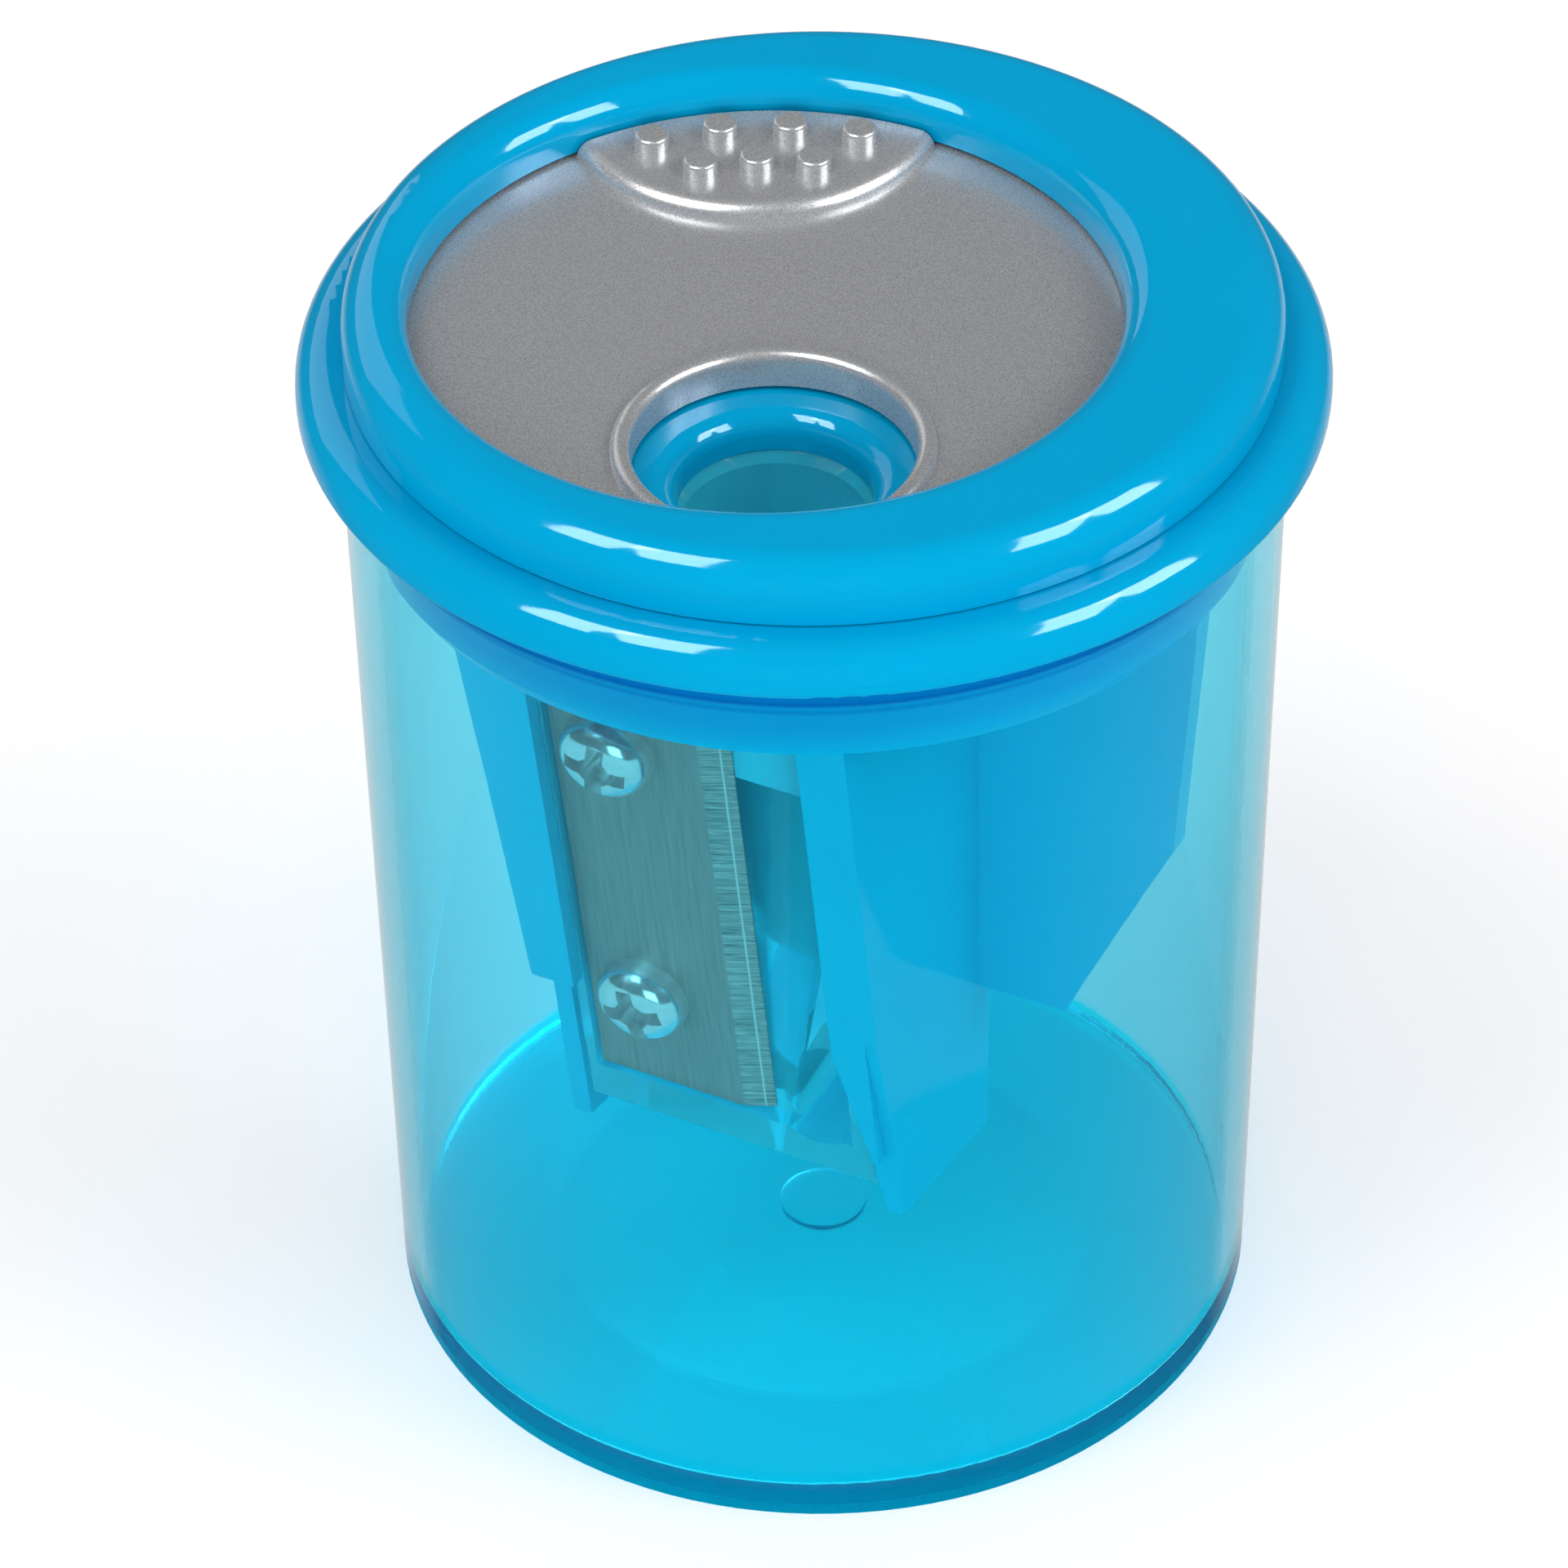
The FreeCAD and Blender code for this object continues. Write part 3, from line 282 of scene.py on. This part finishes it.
def blade_steel():
    mat, tree, out = new_material("blade_steel")
    pos = coords(tree)
    u = dot(tree, pos, DIR_U)
    s = dot(tree, pos, DIR_S)
    skin = node(tree, "ShaderNodeBsdfPrincipled")
    skin.inputs["Metallic"].default_value = 0.35
    along = tree.nodes.new("ShaderNodeCombineXYZ")
    link(tree, u, along.inputs["X"])
    slow = tree.nodes.new("ShaderNodeMath")
    slow.operation = "MULTIPLY"
    slow.inputs[1].default_value = 0.04
    link(tree, s, slow.inputs[0])
    link(tree, slow.outputs["Value"], along.inputs["Y"])
    rolled = noise(tree, along.outputs["Vector"], 6000.0, 3.0, 0.6)
    cross = tree.nodes.new("ShaderNodeCombineXYZ")
    slow_u = tree.nodes.new("ShaderNodeMath")
    slow_u.operation = "MULTIPLY"
    slow_u.inputs[1].default_value = 0.06
    link(tree, u, slow_u.inputs[0])
    link(tree, slow_u.outputs["Value"], cross.inputs["X"])
    link(tree, s, cross.inputs["Y"])
    ground = noise(tree, cross.outputs["Vector"], 7000.0, 3.0, 0.7)
    edge_u = AXIS.dot(DIR_U)
    mask = ramp(tree, u, 0.0, 1.0, edge_u - 1.37 * MM, edge_u - 1.33 * MM)
    pick = tree.nodes.new("ShaderNodeMix")
    pick.data_type = "FLOAT"
    link(tree, mask, pick.inputs["Factor"])
    link(tree, rolled, pick.inputs["A"])
    link(tree, ground, pick.inputs["B"])
    grain = pick.outputs["Result"]
    flat_tone = mix_colour(tree, ramp(tree, rolled, 0.0, 1.0, 0.3, 0.7), (0.20, 0.225, 0.212), (0.29, 0.315, 0.30))
    bevel_tone = mix_colour(tree, ramp(tree, ground, 0.0, 1.0, 0.35, 0.65), (0.11, 0.17, 0.16), (0.40, 0.50, 0.48))
    tones = tree.nodes.new("ShaderNodeMix")
    tones.data_type = "RGBA"
    link(tree, mask, tones.inputs["Factor"])
    link(tree, flat_tone, tones.inputs["A"])
    link(tree, bevel_tone, tones.inputs["B"])
    # painted highlight: a thin light line along the bevel near the cutting edge
    line = tree.nodes.new("ShaderNodeMath")
    line.operation = "MULTIPLY"
    link(tree, ramp(tree, u, 0.0, 1.0, edge_u - 0.50 * MM, edge_u - 0.47 * MM), line.inputs[0])
    link(tree, ramp(tree, u, 1.0, 0.0, edge_u - 0.43 * MM, edge_u - 0.38 * MM), line.inputs[1])
    lit = tree.nodes.new("ShaderNodeMix")
    lit.data_type = "RGBA"
    lit.inputs["B"].default_value = (0.50, 0.62, 0.60, 1.0)
    link(tree, line.outputs["Value"], lit.inputs["Factor"])
    link(tree, tones.outputs["Result"], lit.inputs["A"])
    link(tree, lit.outputs["Result"], skin.inputs["Base Color"])
    link(tree, ramp(tree, grain, 0.28, 0.46, 0.3, 0.7), skin.inputs["Roughness"])
    link(tree, bump(tree, grain, 0.25, 0.00002), skin.inputs["Normal"])
    link(tree, skin.outputs["BSDF"], out.inputs["Surface"])
    return mat


def screw_plating():
    mat, tree, out = new_material("screw_plating")
    pos = coords(tree)
    skin = node(tree, "ShaderNodeBsdfPrincipled")
    skin.inputs["Metallic"].default_value = 0.75
    grain = noise(tree, pos, 2500.0, 3.0)
    link(tree, mix_colour(tree, grain, (0.66, 0.68, 0.69), (0.80, 0.82, 0.82)), skin.inputs["Base Color"])
    link(tree, ramp(tree, grain, 0.10, 0.22, 0.3, 0.7), skin.inputs["Roughness"])
    link(tree, bump(tree, grain, 0.12, 0.00003), skin.inputs["Normal"])
    link(tree, skin.outputs["BSDF"], out.inputs["Surface"])
    return mat


CUP_WALL = (0.53, 0.88, 0.92)
CUP_FLOOR = (0.02, 0.785, 0.865)
CUP_EDGE = (0.0, 0.92, 1.0)
# painted shade for the thin bands along the rim bead under the lid's flange
CUP_RIM_PAINTED_SHADE = (0.0, 0.30, 0.62)
CUP_RIM = (0.0, 0.97, 0.97)
LID_BLUE = (0.0, 0.315, 0.575)
# painted light: the lid's blue made paler for the holder inside the cup
HOLDER_PAINTED_LIGHT_BLUE = (0.0, 0.44, 0.65)
CUP = cup_plastic()
CLEAR = insert_plastic()
BLUE = lid_plastic()
SILVER = silver_plastic()
STEEL = blade_steel()
PLATED = screw_plating()


def wear(name, mat):
    obj = NODES[name]
    obj.data.materials.clear()
    obj.data.materials.append(mat)


wear("container", CUP)
wear("lid_base", BLUE)
wear("lid_ring", BLUE)
wear("shutter_disc", SILVER)
wear("sharpener_insert", CLEAR)
wear("blade", STEEL)
wear("blade_screws", PLATED)

# --------------------------------------------------------------- stage, light
floor_mesh = bpy.data.meshes.new("floor")
F = 1.2
floor_mesh.from_pydata([(-F, -F, 0), (F, -F, 0), (F, F, 0), (-F, F, 0)], [], [(0, 1, 2, 3)])
floor = bpy.data.objects.new("floor", floor_mesh)
floor.location.z = -0.00002
scene.collection.objects.link(floor)
floor_mat, tree, out = new_material("pale_floor")
paper = node(tree, "ShaderNodeBsdfPrincipled", Roughness=0.9)
paper.inputs["Specular IOR Level"].default_value = 0.1
link(tree, mix_colour(tree, noise(tree, coords(tree), 30.0, 3.0), (0.985, 0.96, 0.95), (0.995, 0.97, 0.96)),
     paper.inputs["Base Color"])
link(tree, paper.outputs["BSDF"], out.inputs["Surface"])
floor_mesh.materials.append(floor_mat)
floor.visible_glossy = False

world = bpy.data.worlds.new("studio")
scene.world = world
world.use_nodes = True
sky = world.node_tree
sky.nodes["Background"].inputs["Color"].default_value = (1.0, 1.0, 1.0, 1.0)
mirrored = sky.nodes.new("ShaderNodeLightPath").outputs["Is Glossy Ray"]
# what the glossy surfaces mirror: a dark room with the pale sweep far behind
way = sky.nodes.new("ShaderNodeTexCoord").outputs["Generated"]
far = sky.nodes.new("ShaderNodeMath")
far.operation = "MULTIPLY"
link(sky, ramp(sky, dot(sky, way, (0.0, 1.0, 0.0)), 0.0, 1.0, 0.48, 0.75), far.inputs[0])
link(sky, ramp(sky, dot(sky, way, (0.0, 0.0, 1.0)), 1.0, 0.0, -0.35, -0.15), far.inputs[1])
seen = sky.nodes.new("ShaderNodeMix")
seen.data_type = "FLOAT"
seen.inputs["A"].default_value = 0.72
link(sky, mirrored, seen.inputs["Factor"])
link(sky, ramp(sky, far.outputs["Value"], 0.06, 0.66), seen.inputs["B"])
link(sky, seen.outputs["Result"], sky.nodes["Background"].inputs["Strength"])


SHINE = 21.0


def softbox(name, toward, along, length, width, radiance, distance=0.6, shine=True, fill=True):
    """A soft lamp seen from the part in one direction, square to it. shine: it
    shows as a highlight; fill: it lights surfaces."""
    back = Vector(toward).normalized()
    place = Vector((0, 0, 0.045)) + back * distance
    run = Vector(along)
    run = (run - back * run.dot(back)).normalized()
    side = back.cross(run)
    data = bpy.data.lights.new(name, "AREA")
    data.shape = "RECTANGLE"
    data.size = length
    data.size_y = width
    data.energy = radiance * math.pi * length * width
    obj = bpy.data.objects.new(name, data)
    scene.collection.objects.link(obj)
    obj.matrix_world = Matrix((
        (run.x, side.x, back.x, place.x),
        (run.y, side.y, back.y, place.y),
        (run.z, side.z, back.z, place.z),
        (0.0, 0.0, 0.0, 1.0),
    ))
    obj.visible_glossy = shine
    obj.visible_diffuse = fill
    obj.visible_transmission = fill
    return obj


# two lamps in front, each with two arms that meet towards the top, and a pale panel at the back
softbox("left_shine_outer", (-0.55, -0.205, 0.81), (0.297, 0.34, 0.288), 0.33, 0.13, SHINE, fill=False)
softbox("left_shine_inner", (-0.362, -0.332, 0.872), (0.176, 0.478, 0.256), 0.35, 0.13, SHINE, fill=False)
softbox("right_shine_outer", (0.774, -0.107, 0.624), (-0.25, 0.165, 0.339), 0.28, 0.15, SHINE, fill=False)
softbox("right_shine_inner", (0.659, -0.364, 0.659), (-0.138, 0.398, 0.358), 0.34, 0.14, SHINE, fill=False)
softbox("rear_shine", (-0.53, 0.70, 0.47), (-0.80, -0.60, 0.0), 0.40, 0.30, 1.2, fill=False)
softbox("left_fill", (-0.417, -0.298, 0.86), (0.311, -0.19, 0.083), 0.36, 0.46, 4.0, distance=1.0, shine=False)
softbox("right_fill", (0.715, -0.268, 0.647), (0.276, 0.365, -0.146), 0.46, 0.50, 4.0, distance=1.0, shine=False)
softbox("front_fill", (-0.05, -0.964, 0.26), (1.0, -0.05, 0.0), 0.46, 0.42, 4.9, distance=0.9, shine=False)
